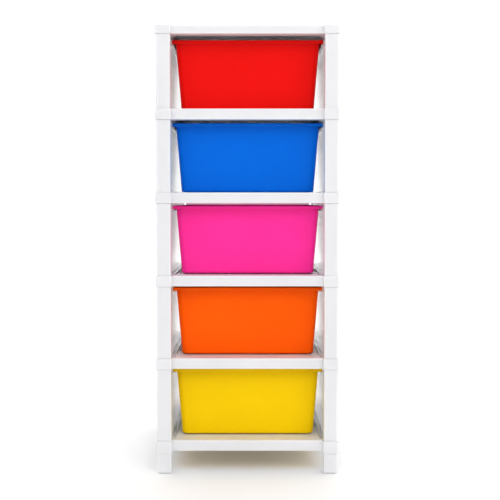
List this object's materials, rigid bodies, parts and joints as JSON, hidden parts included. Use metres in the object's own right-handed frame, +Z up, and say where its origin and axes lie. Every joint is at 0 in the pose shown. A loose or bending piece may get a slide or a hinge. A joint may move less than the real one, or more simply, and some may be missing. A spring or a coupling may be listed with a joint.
{
  "type": "drawer tower",
  "caption": "Tall narrow storage tower: open-front plastic frame of stacked shelves on corner posts, with coloured pull-out bins that hang by their rims, on short square feet.",
  "frame": {"origin": "on the floor, under the middle of the tower's footprint", "axes": "+Z up, front towards -Y (the drawers pull out along -Y), +X to the right as seen from the front"},
  "size_m": [0.32, 0.39, 0.777],
  "materials": {
    "white_plastic": "satin moulded polypropylene, fine grain",
    "yellow_plastic": "semi-gloss moulded polypropylene",
    "orange_plastic": "semi-gloss moulded polypropylene",
    "pink_plastic": "semi-gloss moulded polypropylene",
    "blue_plastic": "semi-gloss moulded polypropylene",
    "red_plastic": "semi-gloss moulded polypropylene"
  },
  "bodies": {
    "frame": {"bottom_shelf": "white_plastic", "shelf_1": "white_plastic", "shelf_2": "white_plastic", "shelf_3": "white_plastic", "shelf_4": "white_plastic", "top_shelf": "white_plastic", "foot_front_left": "white_plastic", "foot_front_right": "white_plastic", "foot_rear_left": "white_plastic", "foot_rear_right": "white_plastic", "post_front_left_1": "white_plastic", "post_front_right_1": "white_plastic", "post_rear_left_1": "white_plastic", "post_rear_right_1": "white_plastic", "post_front_left_2": "white_plastic", "post_front_right_2": "white_plastic", "post_rear_left_2": "white_plastic", "post_rear_right_2": "white_plastic", "post_front_left_3": "white_plastic", "post_front_right_3": "white_plastic", "post_rear_left_3": "white_plastic", "post_rear_right_3": "white_plastic", "post_front_left_4": "white_plastic", "post_front_right_4": "white_plastic", "post_rear_left_4": "white_plastic", "post_rear_right_4": "white_plastic", "post_front_left_5": "white_plastic", "post_front_right_5": "white_plastic", "post_rear_left_5": "white_plastic", "post_rear_right_5": "white_plastic", "side_panel_left_1": "white_plastic", "side_panel_right_1": "white_plastic", "side_panel_left_2": "white_plastic", "side_panel_right_2": "white_plastic", "side_panel_left_3": "white_plastic", "side_panel_right_3": "white_plastic", "side_panel_left_4": "white_plastic", "side_panel_right_4": "white_plastic", "side_panel_left_5": "white_plastic", "side_panel_right_5": "white_plastic"},
    "yellow_drawer": {"drawer_yellow": "yellow_plastic"},
    "orange_drawer": {"drawer_orange": "orange_plastic"},
    "pink_drawer": {"drawer_pink": "pink_plastic"},
    "blue_drawer": {"drawer_blue": "blue_plastic"},
    "red_drawer": {"drawer_red": "red_plastic"}
  },
  "joints": [
    {"name": "yellow_drawer_slide", "type": "slide", "parent": "frame", "child": "yellow_drawer", "axis": [0, -1, 0], "range_m": [0, 0.27]},
    {"name": "orange_drawer_slide", "type": "slide", "parent": "frame", "child": "orange_drawer", "axis": [0, -1, 0], "range_m": [0, 0.27]},
    {"name": "pink_drawer_slide", "type": "slide", "parent": "frame", "child": "pink_drawer", "axis": [0, -1, 0], "range_m": [0, 0.27]},
    {"name": "blue_drawer_slide", "type": "slide", "parent": "frame", "child": "blue_drawer", "axis": [0, -1, 0], "range_m": [0, 0.27]},
    {"name": "red_drawer_slide", "type": "slide", "parent": "frame", "child": "red_drawer", "axis": [0, -1, 0], "range_m": [0, 0.27]}
  ]
}
